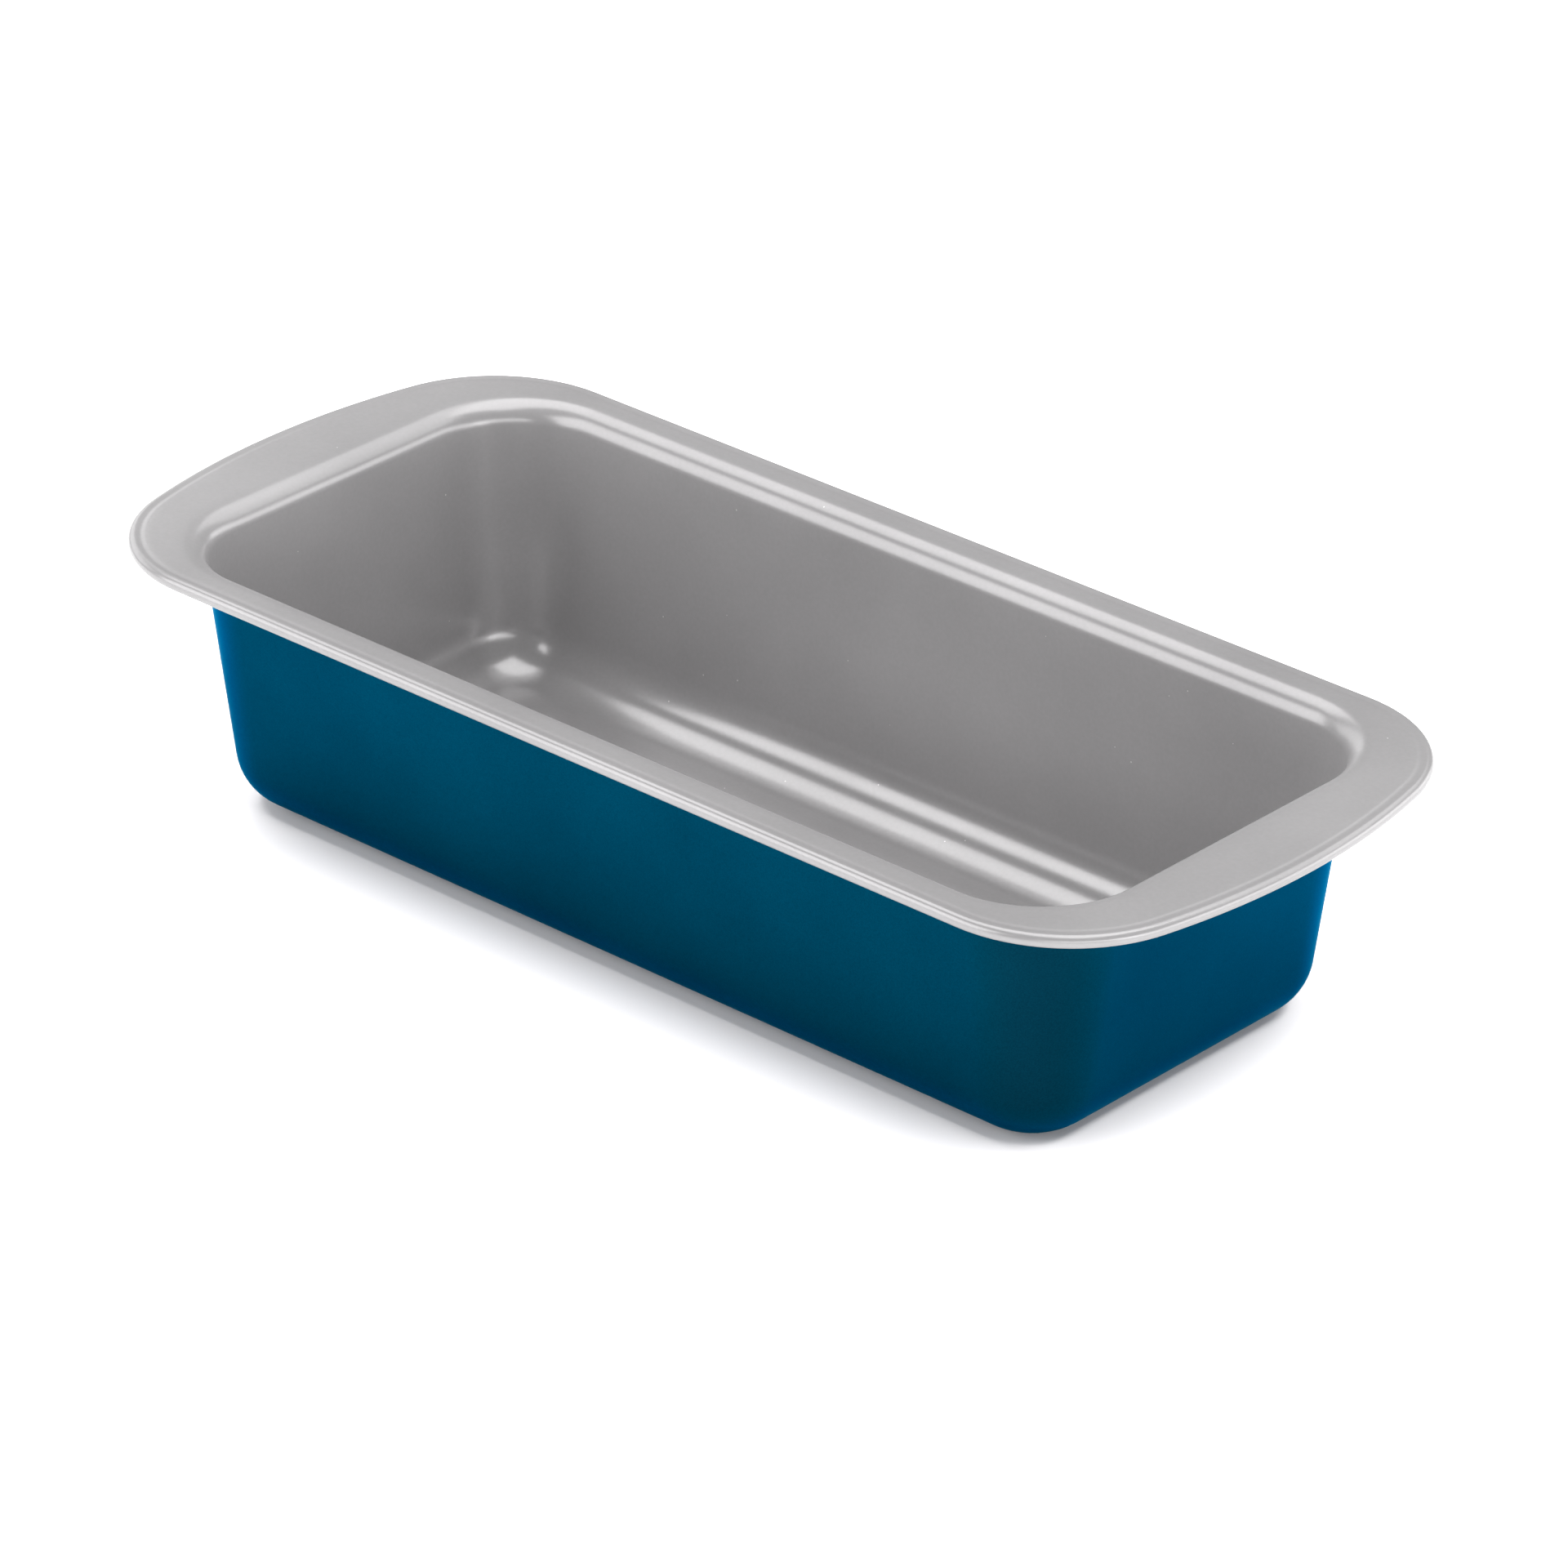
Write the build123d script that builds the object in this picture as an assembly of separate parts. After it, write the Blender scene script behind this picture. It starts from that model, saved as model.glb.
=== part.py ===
from build123d import *

import os
from math import asin, cos, degrees, radians, sqrt, tan

# A loaf pan pressed from one steel sheet. The sheet's edge is rolled under, its baking side is
# coated grey and its other side is coated blue.
#
# Frame: millimetres, +X along the pan, +Y across it, +Z up. The origin is the middle of the face
# that the pan stands on.
#
# The steel and its two coats are layers that lie against each other. A level is a height within
# the layers: 0 on the blue outer face and THICKNESS on the grey inner face. Each layer is what lies
# between two levels, so neighbours share a face and never overlap.

# Whole pan
LENGTH = 300.0
WIDTH = 134.4
HEIGHT = 63.5

# Layers
STEEL = 0.6
COAT = 0.1
THICKNESS = COAT + STEEL + COAT

# Well: the plan where the walls' outer faces would meet the base's if there were no bend there
BASE_LENGTH = 240.2
BASE_WIDTH = 96.6
BASE_CORNER_RADIUS = 15.6
WALL_LEAN = 7.2
BASE_BEND_RADIUS = 14.0

# Shoulder: the bend from the wall out to the flange, measured on the grey face
SHOULDER_RADIUS = 5.5

# Flange: bowed ends to grip, and corner arcs that run from them into the straight sides
BOW_RADIUS = 183.5
CORNER_RADIUS = 34.1

# Roll: the flange's edge turned outwards, down and back under, measured on the grey face
ROLL_RADIUS = 1.5

# Space kept above the flange in the solids that the layers are cut from
HEADROOM = 5.0

# The flange's arcs: their centres in the +X +Y quarter, and the angle where the bow ends
BOW_X = LENGTH / 2 - BOW_RADIUS
CORNER_Y = WIDTH / 2 - CORNER_RADIUS
CORNER_X = BOW_X + sqrt((BOW_RADIUS - CORNER_RADIUS) ** 2 - CORNER_Y**2)
BOW_ANGLE = degrees(asin(CORNER_Y / (BOW_RADIUS - CORNER_RADIUS)))


def flat_plan():
    """The pan seen from above, out to the middle of the roll, which is where the flange stops being flat."""
    side_y = WIDTH / 2 - ROLL_RADIUS
    half_bow = CenterArc((BOW_X, 0), BOW_RADIUS - ROLL_RADIUS, 0, BOW_ANGLE)
    corner = CenterArc((CORNER_X, CORNER_Y), CORNER_RADIUS - ROLL_RADIUS, BOW_ANGLE, 90 - BOW_ANGLE)
    half_side = Line((CORNER_X, side_y), (0, side_y))
    quarter = Curve() + [half_bow, corner, half_side]
    half = quarter + mirror(quarter, Plane.YZ)
    return make_face(half + mirror(half, Plane.XZ))


def well(level):
    """The space between the leaning walls, from a level of the base to above the flange."""
    top = HEIGHT + HEADROOM
    spread = top * tan(radians(WALL_LEAN)) - level / cos(radians(WALL_LEAN))
    mouth = RectangleRounded(
        BASE_LENGTH + 2 * spread,
        BASE_WIDTH + 2 * spread,
        BASE_CORNER_RADIUS + spread,
    )
    # The walls draw in away from the mouth, so the well is made mouth down and then turned over
    mouth_down = extrude(mouth, top - level, taper=WALL_LEAN)
    space = Pos(Z=top) * Rot(X=180) * mouth_down
    base = space.faces().sort_by(Axis.Z)[0]
    return fillet(base.edges(), BASE_BEND_RADIUS - level)


def space_above(level):
    """Everything on the grey side of a level: the well, the shoulder, and the air over the flange."""
    flange_z = HEIGHT - THICKNESS + level
    air = Pos(Z=flange_z) * extrude(flat_plan(), HEIGHT + HEADROOM - flange_z)
    space = well(level) + air
    flange_face = space.faces().filter_by(Axis.Z).sort_by(Axis.Z)[1]
    shoulder = flange_face.inner_wires()[0].edges()
    return fillet(shoulder, SHOULDER_RADIUS - THICKNESS + level)


def roll(bottom, top):
    """The part of a layer that is in the roll: three quarters of a ring, swept round the flange."""
    path = flat_plan().face().outer_wire()
    outwards = (path % 0).cross(Vector(0, 0, 1))
    centre = (path @ 0) + Vector(0, 0, HEIGHT - ROLL_RADIUS)
    section_plane = Plane(origin=centre, x_dir=outwards, z_dir=outwards.cross(Vector(0, 0, 1)))
    ring = Circle(ROLL_RADIUS - THICKNESS + top) - Circle(ROLL_RADIUS - THICKNESS + bottom)
    missing_quarter = Rectangle(ROLL_RADIUS, ROLL_RADIUS, align=(Align.MAX, Align.MIN))
    return sweep(section_plane * (ring - missing_quarter), path=path)


def layer(bottom, top):
    """One layer of the pressed and rolled sheet, between two levels."""
    return space_above(bottom) - space_above(top) + roll(bottom, top)


def main():
    os.makedirs("parts", exist_ok=True)
    layers = {
        "outer_enamel": layer(0, COAT),
        "steel_shell": layer(COAT, COAT + STEEL),
        "nonstick_lining": layer(COAT + STEEL, THICKNESS),
    }
    for name, solid in layers.items():
        export_step(solid, f"parts/{name}.step")


main()
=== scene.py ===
"""A loaf pan of coated sheet steel on a white floor.

The pan's three layers (blue enamel, steel and grey lining) are built here as smooth meshes, from the
same few dimensions as the frame's own solids. Lengths are in metres. Angles are in radians where the
shapes are made, and in degrees for the lights and the camera.
"""

import math

import bmesh
import bpy
from mathutils import Matrix, Vector


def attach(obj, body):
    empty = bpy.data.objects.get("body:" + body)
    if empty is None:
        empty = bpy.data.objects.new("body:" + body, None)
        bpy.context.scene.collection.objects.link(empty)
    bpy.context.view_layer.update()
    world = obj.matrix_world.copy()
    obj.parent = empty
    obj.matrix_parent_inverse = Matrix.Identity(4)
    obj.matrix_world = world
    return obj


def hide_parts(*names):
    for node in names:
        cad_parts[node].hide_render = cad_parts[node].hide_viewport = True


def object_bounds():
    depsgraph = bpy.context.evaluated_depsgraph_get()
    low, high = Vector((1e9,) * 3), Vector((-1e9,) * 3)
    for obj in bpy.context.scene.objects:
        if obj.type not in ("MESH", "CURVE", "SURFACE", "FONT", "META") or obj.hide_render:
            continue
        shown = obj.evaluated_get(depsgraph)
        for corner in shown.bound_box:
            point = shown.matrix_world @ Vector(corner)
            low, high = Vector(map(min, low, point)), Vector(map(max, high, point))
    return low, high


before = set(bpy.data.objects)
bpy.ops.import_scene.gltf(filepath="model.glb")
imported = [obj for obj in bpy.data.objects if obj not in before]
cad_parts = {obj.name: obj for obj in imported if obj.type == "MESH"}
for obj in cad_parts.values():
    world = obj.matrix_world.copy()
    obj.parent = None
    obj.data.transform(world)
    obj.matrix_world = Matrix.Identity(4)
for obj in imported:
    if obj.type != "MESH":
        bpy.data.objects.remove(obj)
cad_low, cad_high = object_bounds()

MM = 0.001

# The whole pan, as the frame holds it
LENGTH = cad_high.x - cad_low.x
WIDTH = cad_high.y - cad_low.y
HEIGHT = cad_high.z - cad_low.z
FLOOR_Z = cad_low.z

# Layers. A level is a height within the sheet: 0 on the blue outer face and THICKNESS on the grey inner
# face. Each layer is what lies between two levels
COAT = 0.1 * MM
STEEL = 0.6 * MM
THICKNESS = COAT + STEEL + COAT

# Well, as the outer face's plan where the walls would meet the base if there were no bend
BASE_LENGTH = 240.2 * MM
BASE_WIDTH = 96.6 * MM
BASE_CORNER_RADIUS = 15.6 * MM
WALL_LEAN = math.radians(7.2)
BASE_BEND_RADIUS = 14.0 * MM
SHOULDER_RADIUS = 5.5 * MM

# Flange and its roll
BOW_RADIUS = 183.5 * MM
CORNER_RADIUS = 34.1 * MM
ROLL_RADIUS = 1.5 * MM
ROLL_START = math.radians(90)
ROLL_ARC = math.radians(270)

# The faint groove that the rolling leaves in the flange, just inside the roll
GROOVE_WIDTH = 2.4 * MM
GROOVE_DEPTH = 0.1 * MM

# How many faces each stretch has, first round the pan and then along the sheet's section
SIDE_FACES = 60
END_FACES = 20
CORNER_FACES = 20
BASE_BEND_FACES = 14
WALL_FACES = 14
SHOULDER_FACES = 12
FLANGE_FACES = 6
GROOVE_FACES = 8
ROLL_FACES = 36

# Faces that meet at more than this angle are shaded with a crisp edge between them
CREASE_ANGLE = math.radians(40)


# ---------------------------------------------------------------- the sheet's shape


def arc(centre, radius, start, end, faces):
    """Points along an arc in plan, without its last point."""
    for i in range(faces):
        angle = start + (end - start) * i / faces
        yield centre[0] + radius * math.cos(angle), centre[1] + radius * math.sin(angle)


def straight(start, end, faces):
    """Points along a straight line in plan, without its last point."""
    for i in range(faces):
        t = i / faces
        yield start[0] + (end[0] - start[0]) * t, start[1] + (end[1] - start[1]) * t


CORNER_X = BASE_LENGTH / 2 - BASE_CORNER_RADIUS
CORNER_Y = BASE_WIDTH / 2 - BASE_CORNER_RADIUS


def well_ring(radius):
    """A rounded rectangle about the well's four corner centres, anticlockwise from the +X end's middle."""
    x, y, r = CORNER_X, CORNER_Y, radius
    half = math.pi / 2
    points = []
    points += straight((x + r, 0), (x + r, y), END_FACES // 2)
    points += arc((x, y), r, 0, half, CORNER_FACES)
    points += straight((x, y + r), (-x, y + r), SIDE_FACES)
    points += arc((-x, y), r, half, 2 * half, CORNER_FACES)
    points += straight((-x - r, y), (-x - r, -y), END_FACES)
    points += arc((-x, -y), r, 2 * half, 3 * half, CORNER_FACES)
    points += straight((-x, -y - r), (x, -y - r), SIDE_FACES)
    points += arc((x, -y), r, 3 * half, 4 * half, CORNER_FACES)
    points += straight((x + r, -y), (x + r, 0), END_FACES // 2)
    return points


FLANGE_BOW_X = LENGTH / 2 - BOW_RADIUS
FLANGE_CORNER_Y = WIDTH / 2 - CORNER_RADIUS
FLANGE_CORNER_X = FLANGE_BOW_X + math.sqrt((BOW_RADIUS - CORNER_RADIUS) ** 2 - FLANGE_CORNER_Y**2)
BOW_ANGLE = math.asin(FLANGE_CORNER_Y / (BOW_RADIUS - CORNER_RADIUS))


def flange_ring(inset):
    """The flange's outline drawn in by a distance, with its points in the same order as the well's."""
    bow, corner = BOW_RADIUS - inset, CORNER_RADIUS - inset
    bow_x, x, y = FLANGE_BOW_X, FLANGE_CORNER_X, FLANGE_CORNER_Y
    side_y = WIDTH / 2 - inset
    half, full = math.pi / 2, math.pi
    points = []
    points += arc((bow_x, 0), bow, 0, BOW_ANGLE, END_FACES // 2)
    points += arc((x, y), corner, BOW_ANGLE, half, CORNER_FACES)
    points += straight((x, side_y), (-x, side_y), SIDE_FACES)
    points += arc((-x, y), corner, half, full - BOW_ANGLE, CORNER_FACES)
    points += arc((-bow_x, 0), bow, full - BOW_ANGLE, full + BOW_ANGLE, END_FACES)
    points += arc((-x, -y), corner, full + BOW_ANGLE, full + half, CORNER_FACES)
    points += straight((-x, -side_y), (x, -side_y), SIDE_FACES)
    points += arc((x, -y), corner, -half, -BOW_ANGLE, CORNER_FACES)
    points += arc((bow_x, 0), bow, -BOW_ANGLE, 0, END_FACES // 2)
    return points


def raised(ring, z):
    """A ring of points at a height above the floor."""
    return [Vector((x, y, FLOOR_Z + z)) for x, y in ring]


def between(low, high, count):
    """count values from just above low up to and including high."""
    return [low + (high - low) * (i + 1) / count for i in range(count)]


def wall_radius(level, z):
    """How far out a wall's face is from the well's corner centres, at a height."""
    return BASE_CORNER_RADIUS + z * math.tan(WALL_LEAN) - level / math.cos(WALL_LEAN)


def base_bend_rings(level):
    bend = BASE_BEND_RADIUS - level
    centre = wall_radius(level, BASE_BEND_RADIUS) - bend / math.cos(WALL_LEAN)
    rings = []
    for angle in [0.0] + between(0, math.pi / 2 - WALL_LEAN, BASE_BEND_FACES):
        radius = centre + bend * math.sin(angle)
        rings.append(raised(well_ring(radius), BASE_BEND_RADIUS - bend * math.cos(angle)))
    return rings


# The height of the middle of the shoulder's bend
SHOULDER_Z = HEIGHT - SHOULDER_RADIUS


def shoulder_radius(level):
    return SHOULDER_RADIUS - THICKNESS + level


def shoulder_centre(level):
    """How far out the middle of the shoulder's bend is from the well's corner centres."""
    return wall_radius(level, SHOULDER_Z) + shoulder_radius(level) / math.cos(WALL_LEAN)


def wall_rings(level):
    low = BASE_BEND_RADIUS - (BASE_BEND_RADIUS - level) * math.sin(WALL_LEAN)
    high = SHOULDER_Z + shoulder_radius(level) * math.sin(WALL_LEAN)
    return [raised(well_ring(wall_radius(level, z)), z) for z in between(low, high, WALL_FACES)]


def shoulder_rings(level):
    shoulder = shoulder_radius(level)
    rings = []
    for angle in between(WALL_LEAN, math.pi / 2, SHOULDER_FACES):
        radius = shoulder_centre(level) - shoulder * math.cos(angle)
        rings.append(raised(well_ring(radius), SHOULDER_Z + shoulder * math.sin(angle)))
    return rings


def flange_rings(level):
    """The flat flange from the mouth to the groove, and then the groove."""
    flange_z = HEIGHT - THICKNESS + level
    mouth = raised(well_ring(shoulder_centre(level)), flange_z)
    groove_edge = raised(flange_ring(ROLL_RADIUS + GROOVE_WIDTH), flange_z)
    rings = []
    for t in between(0, 1, FLANGE_FACES):
        rings.append([a.lerp(b, t) for a, b in zip(mouth, groove_edge)])
    for t in between(0, 1, GROOVE_FACES):
        depth = GROOVE_DEPTH * math.sin(math.pi * t) ** 2
        rings.append(raised(flange_ring(ROLL_RADIUS + GROOVE_WIDTH * (1 - t)), flange_z - depth))
    return rings


def roll_rings(level):
    roll = ROLL_RADIUS - THICKNESS + level
    rings = []
    for turned in between(0, ROLL_ARC, ROLL_FACES):
        angle = ROLL_START - turned
        outline = flange_ring(ROLL_RADIUS - roll * math.cos(angle))
        rings.append(raised(outline, HEIGHT - ROLL_RADIUS + roll * math.sin(angle)))
    return rings


def sheet_rings(level):
    """Every ring of one face of a layer, from the base's flat part out to the end of the roll."""
    rings = base_bend_rings(level) + wall_rings(level) + shoulder_rings(level)
    rings += flange_rings(level) + roll_rings(level)
    return rings


# ---------------------------------------------------------------- meshes


def bridge(bm, first, second):
    """Joins two rings of vertices with a strip of faces."""
    count = len(first)
    for k in range(count):
        following = (k + 1) % count
        bm.faces.new((first[k], second[k], second[following], first[following]))


def add_base(bm, rim, z):
    """Fills the flat base inside a ring of vertices: a grid, strips along its sides, fans at its corners."""
    columns = SIDE_FACES
    rows = END_FACES
    grid = []
    for j in range(rows + 1):
        y = CORNER_Y * (2 * j / rows - 1)
        xs = [CORNER_X * (2 * i / columns - 1) for i in range(columns + 1)]
        grid.append([bm.verts.new((x, y, z)) for x in xs])
    for j in range(rows):
        for i in range(columns):
            bm.faces.new((grid[j][i], grid[j][i + 1], grid[j + 1][i + 1], grid[j + 1][i]))

    # The grid's own edge, in the order of the ring, with each corner held still for the fan
    half = rows // 2
    inner = [grid[half + j][columns] for j in range(half)]
    inner += [grid[rows][columns]] * CORNER_FACES
    inner += [grid[rows][columns - i] for i in range(columns)]
    inner += [grid[rows][0]] * CORNER_FACES
    inner += [grid[rows - j][0] for j in range(rows)]
    inner += [grid[0][0]] * CORNER_FACES
    inner += [grid[0][i] for i in range(columns)]
    inner += [grid[0][columns]] * CORNER_FACES
    inner += [grid[j][columns] for j in range(half)]
    count = len(rim)
    for k in range(count):
        following = (k + 1) % count
        corners = [inner[k], rim[k], rim[following], inner[following]]
        if inner[k] is inner[following]:
            corners.pop()
        bm.faces.new(corners)


def add_face_of_layer(bm, rings):
    """Adds one face of a layer and returns its outermost ring of vertices."""
    vert_rings = [[bm.verts.new(point) for point in ring] for ring in rings]
    add_base(bm, vert_rings[0], rings[0][0].z)
    for inner, outer in zip(vert_rings, vert_rings[1:]):
        bridge(bm, inner, outer)
    return vert_rings[-1]


def add_layer(name, node, bottom, top, material):
    """Builds one closed layer between two levels, in place of a frame node and with the material given."""
    bm = bmesh.new()
    lower_end = add_face_of_layer(bm, sheet_rings(bottom))
    upper_end = add_face_of_layer(bm, sheet_rings(top))
    bridge(bm, lower_end, upper_end)
    bmesh.ops.recalc_face_normals(bm, faces=bm.faces)
    mesh = bpy.data.meshes.new(name)
    bm.to_mesh(mesh)
    bm.free()
    mesh.shade_smooth()
    mesh.set_sharp_from_angle(angle=CREASE_ANGLE)
    mesh.materials.append(material)
    piece = bpy.data.objects.new(name, mesh)
    bpy.context.scene.collection.objects.link(piece)
    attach(piece, "root")
    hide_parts(node)
    return piece


# ---------------------------------------------------------------- materials


# Nearly all of a noise's values lie between these
NOISE_LOW = 0.3
NOISE_HIGH = 0.7


class Finish:
    """A node material under construction. Its patterns are laid out in pan coordinates."""

    def __init__(self, name):
        self.material = bpy.data.materials.new(name)
        self.material.use_nodes = True
        self.nodes = self.material.node_tree.nodes
        self.links = self.material.node_tree.links
        self.shader = self.nodes["Principled BSDF"]
        self.place = self.nodes.new("ShaderNodeTexCoord").outputs["Object"]

    def feed(self, value, socket):
        """Links a node's output to an input, or sets the input to a plain value."""
        if isinstance(value, bpy.types.NodeSocket):
            self.links.new(value, socket)
        else:
            socket.default_value = value

    def calculate(self, operation, first, second=0.0):
        node = self.nodes.new("ShaderNodeMath")
        node.operation = operation
        self.feed(first, node.inputs[0])
        self.feed(second, node.inputs[1])
        return node.outputs[0]

    def ramp(self, value, start, end, low=0.0, high=1.0):
        """Carries a value from the range start..end to low..high, and no further."""
        node = self.nodes.new("ShaderNodeMapRange")
        self.feed(value, node.inputs["Value"])
        for socket, number in zip(("From Min", "From Max", "To Min", "To Max"), (start, end, low, high)):
            node.inputs[socket].default_value = number
        return node.outputs["Result"]

    def noise(self, size, detail=2.0, stretch=(1, 1, 1)):
        """Cloudy noise about 0.5, with features of a given size, drawn out along each axis by stretch."""
        mapping = self.nodes.new("ShaderNodeMapping")
        mapping.inputs["Scale"].default_value = [1 / factor for factor in stretch]
        self.links.new(self.place, mapping.inputs["Vector"])
        node = self.nodes.new("ShaderNodeTexNoise")
        node.inputs["Scale"].default_value = 1 / size
        node.inputs["Detail"].default_value = detail
        self.links.new(mapping.outputs["Vector"], node.inputs["Vector"])
        return node.outputs["Fac"]

    def spread(self, noise, low, high):
        """Noise spread over the range low..high."""
        return self.ramp(noise, NOISE_LOW, NOISE_HIGH, low, high)

    def specks(self, spacing, radius, share):
        """Small round dots, in a share of the cells of a random pattern."""
        node = self.nodes.new("ShaderNodeTexVoronoi")
        node.inputs["Scale"].default_value = 1 / spacing
        self.links.new(self.place, node.inputs["Vector"])
        dot = self.calculate("LESS_THAN", node.outputs["Distance"], radius / spacing)
        split = self.nodes.new("ShaderNodeSeparateColor")
        self.links.new(node.outputs["Color"], split.inputs[0])
        chosen = self.calculate("LESS_THAN", split.outputs[0], share)
        return self.calculate("MULTIPLY", dot, chosen)

    def edges(self, start, end):
        """1 along sharp outward bends, where handling wears a surface, and 0 on flat faces."""
        pointed = self.nodes.new("ShaderNodeNewGeometry").outputs["Pointiness"]
        return self.ramp(pointed, start, end)

    def axis(self, name):
        """Distance from the pan's origin along an axis."""
        split = self.nodes.new("ShaderNodeSeparateXYZ")
        self.links.new(self.place, split.inputs[0])
        return split.outputs[name]

    def height(self):
        """Height above the pan's standing face."""
        return self.calculate("SUBTRACT", self.axis("Z"), FLOOR_Z)

    def mix(self, factor, first, second):
        node = self.nodes.new("ShaderNodeMix")
        node.data_type = "RGBA"
        self.feed(factor, node.inputs["Factor"])
        self.feed(first, node.inputs["A"])
        self.feed(second, node.inputs["B"])
        return node.outputs["Result"]

    def scaled(self, colour, factor):
        """A colour made lighter or darker by a factor that a node gives."""
        node = self.nodes.new("ShaderNodeVectorMath")
        node.operation = "SCALE"
        self.feed(colour, node.inputs[0])
        self.feed(factor, node.inputs["Scale"])
        return node.outputs[0]

    def bump(self, height, depth):
        node = self.nodes.new("ShaderNodeBump")
        node.inputs["Distance"].default_value = depth
        self.links.new(height, node.inputs["Height"])
        self.links.new(node.outputs["Normal"], self.shader.inputs["Normal"])

    def set(self, values):
        """Feeds the shader's inputs, which are given by name."""
        for name, value in values.items():
            self.feed(value, self.shader.inputs[name])


# Colours are linear light. The ones that a mix node takes have an alpha as well
LINING_GREY = (0.372, 0.365, 0.369)
FILLER_GREY = (0.7, 0.69, 0.68, 1)
WORN_GREY = (0.5, 0.49, 0.48, 1)


def lining_material():
    """Grey nonstick: sprayed, with a faint cloudiness, a fine grain and a few pale specks of its filler."""
    finish = Finish("grey_nonstick_coat")
    clouds = finish.spread(finish.noise(60 * MM, 3.0), 0.93, 1.07)
    grain = finish.spread(finish.noise(0.9 * MM), 0.98, 1.02)
    colour = finish.scaled(LINING_GREY, finish.calculate("MULTIPLY", clouds, grain))
    # Hands have polished the grips a little lighter than the rest of the flange
    # Painted highlight: towards the pan's ends the lining is painted up to a tenth lighter than the rest,
    # standing in for the brighter light that the flange catches there
    from_middle = finish.calculate("ABSOLUTE", finish.axis("X"))
    painted_highlight_at_ends = finish.ramp(from_middle, 0.38 * LENGTH, 0.46 * LENGTH, 1.0, 1.1)
    colour = finish.scaled(colour, painted_highlight_at_ends)
    colour = finish.mix(finish.specks(4.5 * MM, 0.18 * MM, 0.3), colour, FILLER_GREY)
    patches = finish.ramp(finish.noise(6 * MM), 0.45, 0.65)
    worn = finish.calculate("MULTIPLY", finish.edges(0.53, 0.6), patches)
    colour = finish.mix(finish.calculate("MULTIPLY", worn, 0.25), colour, WORN_GREY)
    # The coat is smoothest and shiniest at the bottom, where it flowed most before it was baked
    by_height = finish.ramp(finish.height(), 5 * MM, 45 * MM, 0.21, 0.25)
    shine = finish.ramp(finish.height(), 5 * MM, 58 * MM, 1.0, 0.3)
    uneven = finish.spread(finish.noise(18 * MM, 4.0), -0.015, 0.015)
    roughness = finish.calculate("ADD", by_height, uneven)
    polish = finish.calculate("MULTIPLY", worn, 0.04)
    finish.set(
        {
            "Base Color": colour,
            "Metallic": 0.3,
            "Roughness": finish.calculate("SUBTRACT", roughness, polish),
            "Specular IOR Level": shine,
        }
    )
    finish.bump(finish.noise(0.7 * MM, 3.0), 0.006 * MM)
    return finish.material


BLUE_FACE_ON = (0.001, 0.024, 0.044, 1)
BLUE_EDGE_ON = (0.001, 0.14, 0.24, 1)
BLUE_SHEEN = (0.0, 0.5, 0.8, 1)
SCUFFED_BLUE = (0.03, 0.1, 0.14, 1)


def enamel_material():
    """Satin blue with metal flake: dark face on and brighter edge on, with a slight orange peel."""
    finish = Finish("blue_enamel_coat")
    weight = finish.nodes.new("ShaderNodeLayerWeight")
    weight.inputs["Blend"].default_value = 0.5
    edge_on = finish.calculate("POWER", weight.outputs["Facing"], 2.0)
    colour = finish.mix(edge_on, BLUE_FACE_ON, BLUE_EDGE_ON)
    clouds = finish.spread(finish.noise(30 * MM, 3.0), 0.92, 1.08)
    flake = finish.spread(finish.noise(0.35 * MM, 1.0), 0.88, 1.12)
    colour = finish.scaled(colour, finish.calculate("MULTIPLY", clouds, flake))
    # Sliding about on oven racks scuffs the lowest part of the bend under the walls
    low = finish.ramp(finish.height(), 0.3 * MM, 3 * MM, 1.0, 0.0)
    scuffs = finish.ramp(finish.noise(1.2 * MM, 4.0, (6, 1, 1)), 0.55, 0.62)
    scuffed = finish.calculate("MULTIPLY", low, scuffs)
    colour = finish.mix(finish.calculate("MULTIPLY", scuffed, 0.3), colour, SCUFFED_BLUE)
    uneven = finish.spread(finish.noise(12 * MM, 4.0), 0.325, 0.375)
    roughened = finish.calculate("MULTIPLY", scuffed, 0.12)
    finish.set(
        {
            "Base Color": colour,
            "Metallic": 1.0,
            "Roughness": finish.calculate("ADD", uneven, roughened),
            "Specular Tint": BLUE_SHEEN,
        }
    )
    finish.bump(finish.noise(1.1 * MM), 0.006 * MM)
    return finish.material


STEEL_GREY = (0.48, 0.47, 0.46)
STAINED_STEEL = (0.33, 0.3, 0.27, 1)


def steel_material():
    """Cold-rolled steel, with its grain drawn out along the pan."""
    finish = Finish("rolled_steel")
    grain = finish.noise(0.25 * MM, 4.0, (60, 1, 1))
    stains = finish.noise(9 * MM, 3.0)
    colour = finish.scaled(STEEL_GREY, finish.spread(grain, 0.85, 1.1))
    colour = finish.mix(finish.ramp(stains, 0.55, 0.75, 0.0, 0.4), colour, STAINED_STEEL)
    finish.set(
        {
            "Base Color": colour,
            "Metallic": 1.0,
            "Roughness": finish.spread(stains, 0.34, 0.48),
        }
    )
    finish.bump(grain, 0.004 * MM)
    return finish.material


# ---------------------------------------------------------------- floor, light and camera


FLOOR_HALF = 5 * LENGTH
FLOOR_TO_CAMERA = (0.9, 0.885, 0.895, 1)
FLOOR_TO_PAN = (0.6, 0.6, 0.6, 1)


def floor_material():
    """White to the camera, but greyer to the pan, so that the lit floor doesn't glare on its underside."""
    finish = Finish("white_floor")
    seen = finish.nodes.new("ShaderNodeLightPath").outputs["Is Camera Ray"]
    finish.set(
        {
            "Base Color": finish.mix(seen, FLOOR_TO_PAN, FLOOR_TO_CAMERA),
            "Metallic": 0.0,
            "Roughness": 0.9,
            "Specular IOR Level": 0.1,
        }
    )
    return finish.material


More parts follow.
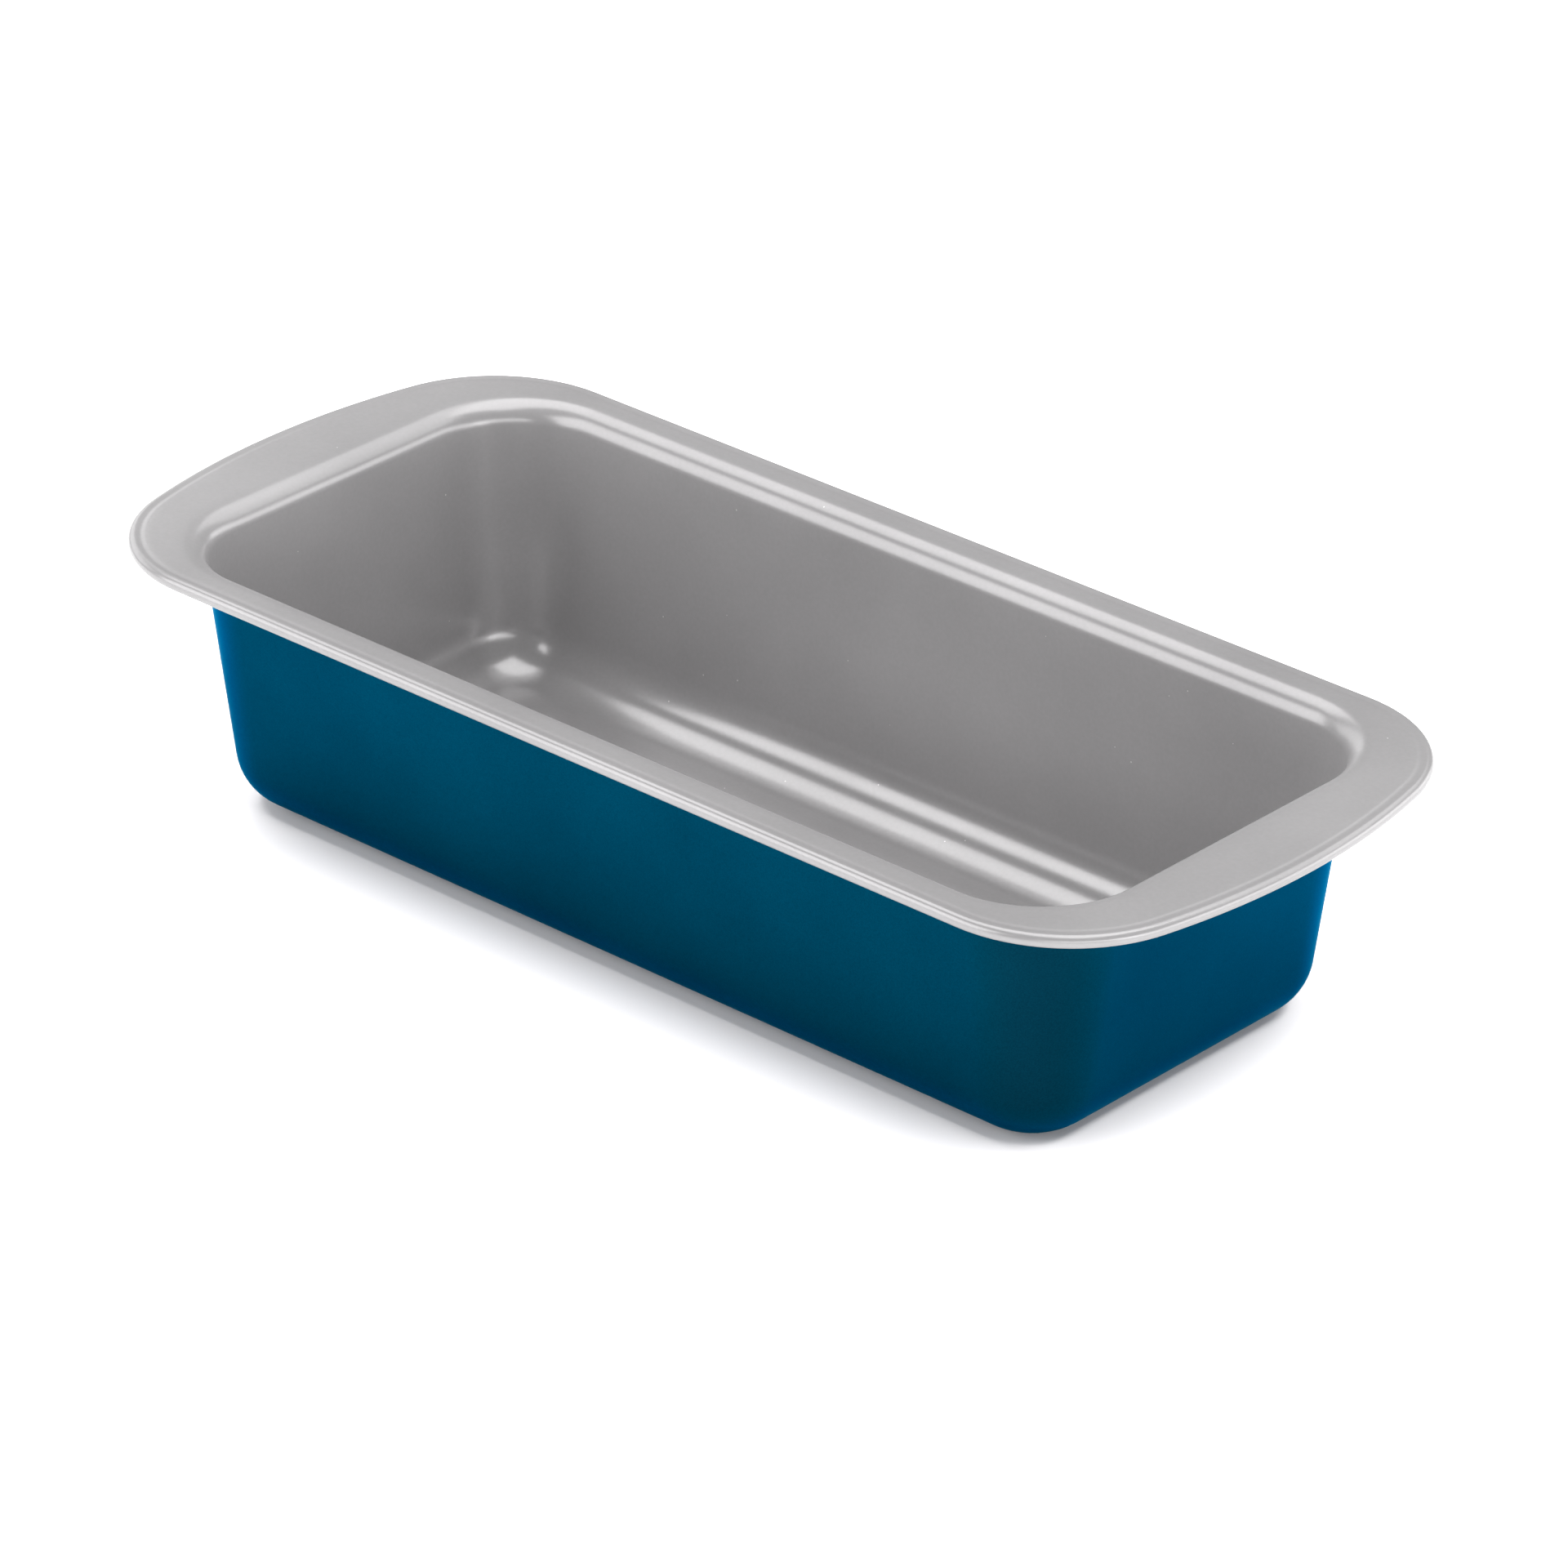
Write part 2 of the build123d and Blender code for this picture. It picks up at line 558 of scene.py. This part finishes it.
def add_floor():
    mesh = bpy.data.meshes.new("floor")
    half = FLOOR_HALF
    corners = [(-half, -half), (half, -half), (half, half), (-half, half)]
    mesh.from_pydata([(x, y, FLOOR_Z) for x, y in corners], [], [(0, 1, 2, 3)])
    mesh.materials.append(floor_material())
    floor = bpy.data.objects.new("floor", mesh)
    bpy.context.scene.collection.objects.link(floor)
    return floor


# Each softbox's name, azimuth, elevation, distance, width and height, and radiance
SOFTBOXES = (
    ("front_left_softbox", 240, 24, 1.6, (1.42, 1.1), 3.0),
    ("left_softbox", 170, 20, 1.6, (1.5, 0.7), 1.3),
    ("right_high_softbox", 80, 46, 1.8, (2.0, 0.8), 1.3),
    ("right_low_softbox", 36, 9, 1.8, (4.4, 0.8), 2.6),
    ("right_front_softbox", 330, 16, 2.1, (2.6, 0.5), 2.9),
)

# The softbox over the pan, which lights only the pan
OVERHEAD_CENTRE = (-0.36, 0.2, 1.2)
OVERHEAD_SIZE = (1.68, 1.04)
OVERHEAD_RADIANCE = 2.65

# The pair high up beyond the pan's ends, which light only the floor
FLOOR_LIGHT_X = 1.6
FLOOR_LIGHT_Z = 3.0
FLOOR_LIGHT_SIZE = (1.55, 2.6)
FLOOR_LIGHT_RADIANCE = 14

# The even glow from all round
GLOW_STRENGTH = 0.33


def direction(azimuth, elevation):
    """A unit vector towards a place around the pan: azimuth from +X towards +Y, both angles in degrees."""
    flat = math.cos(math.radians(elevation))
    return Vector(
        (
            math.cos(math.radians(azimuth)) * flat,
            math.sin(math.radians(azimuth)) * flat,
            math.sin(math.radians(elevation)),
        )
    )


def add_area_light(name, size, radiance):
    """A rectangular light that shines straight down, with its brightness given as radiance."""
    light = bpy.data.lights.new(name, "AREA")
    light.shape = "RECTANGLE"
    light.size, light.size_y = size
    light.energy = radiance * math.pi * light.size * light.size_y
    lamp = bpy.data.objects.new(name, light)
    bpy.context.scene.collection.objects.link(lamp)
    return lamp


def add_softbox(name, azimuth, elevation, distance, size, radiance):
    """A rectangular light that faces the pan from somewhere around it."""
    lamp = add_area_light(name, size, radiance)
    towards = direction(azimuth, elevation)
    lamp.location = towards * distance
    lamp.rotation_euler = (-towards).to_track_quat("-Z", "Y").to_euler()


def add_overhead_softbox(name, centre, size, radiance, things):
    """A rectangular light that hangs level overhead and lights only the things given."""
    lamp = add_area_light(name, size, radiance)
    lamp.location = centre
    receivers = bpy.data.collections.new(name + "_receivers")
    for thing in things:
        receivers.objects.link(thing)
    lamp.light_linking.receiver_collection = receivers


def add_lamps(pan, floor):
    for softbox in SOFTBOXES:
        add_softbox(*softbox)
    add_overhead_softbox("overhead_softbox", OVERHEAD_CENTRE, OVERHEAD_SIZE, OVERHEAD_RADIANCE, pan)
    for x in (-FLOOR_LIGHT_X, FLOOR_LIGHT_X):
        centre = (x, 0, FLOOR_LIGHT_Z)
        add_overhead_softbox("floor_light", centre, FLOOR_LIGHT_SIZE, FLOOR_LIGHT_RADIANCE, [floor])


def add_world():
    """A dim, even glow from all round, which the camera sees as a white backdrop."""
    world = bpy.data.worlds.new("studio")
    world.use_nodes = True
    tree = world.node_tree
    background = tree.nodes["Background"]
    background.inputs["Color"].default_value = (1, 1, 1, 1)
    seen = tree.nodes.new("ShaderNodeLightPath")
    brighter = tree.nodes.new("ShaderNodeMath")
    brighter.operation = "MAXIMUM"
    brighter.inputs[1].default_value = GLOW_STRENGTH
    tree.links.new(seen.outputs["Is Camera Ray"], brighter.inputs[0])
    tree.links.new(brighter.outputs[0], background.inputs["Strength"])
    bpy.context.scene.world = world


# The camera stands off the pan's near corner, with a long lens that keeps the perspective gentle
CAMERA_AZIMUTH = -48.22
CAMERA_ELEVATION = 27.43
CAMERA_ROLL = 0.6
CAMERA_DISTANCE = 6.314 * LENGTH
CAMERA_LENS = 195.2
CAMERA_SENSOR = 36.0
AIM = Vector((-0.1100 * LENGTH, 0.3235 * WIDTH, FLOOR_Z))


def add_camera():
    back = direction(CAMERA_AZIMUTH, CAMERA_ELEVATION)
    level_right = direction(CAMERA_AZIMUTH + 90, 0)
    right = Matrix.Rotation(math.radians(CAMERA_ROLL), 3, back) @ level_right
    up = back.cross(right)
    data = bpy.data.cameras.new("camera")
    data.lens = CAMERA_LENS
    data.sensor_width = CAMERA_SENSOR
    camera = bpy.data.objects.new("camera", data)
    rotation = Matrix((right, up, back)).transposed().to_4x4()
    camera.matrix_world = Matrix.Translation(AIM + back * CAMERA_DISTANCE) @ rotation
    bpy.context.scene.collection.objects.link(camera)
    bpy.context.scene.camera = camera


def main():
    inside = COAT + STEEL
    pan = [
        add_layer("enamel", "outer_enamel", 0, COAT, enamel_material()),
        add_layer("steel", "steel_shell", COAT, inside, steel_material()),
        add_layer("lining", "nonstick_lining", inside, THICKNESS, lining_material()),
    ]
    floor = add_floor()
    add_world()
    add_lamps(pan, floor)
    add_camera()
    bpy.context.scene.view_settings.view_transform = "Standard"


main()
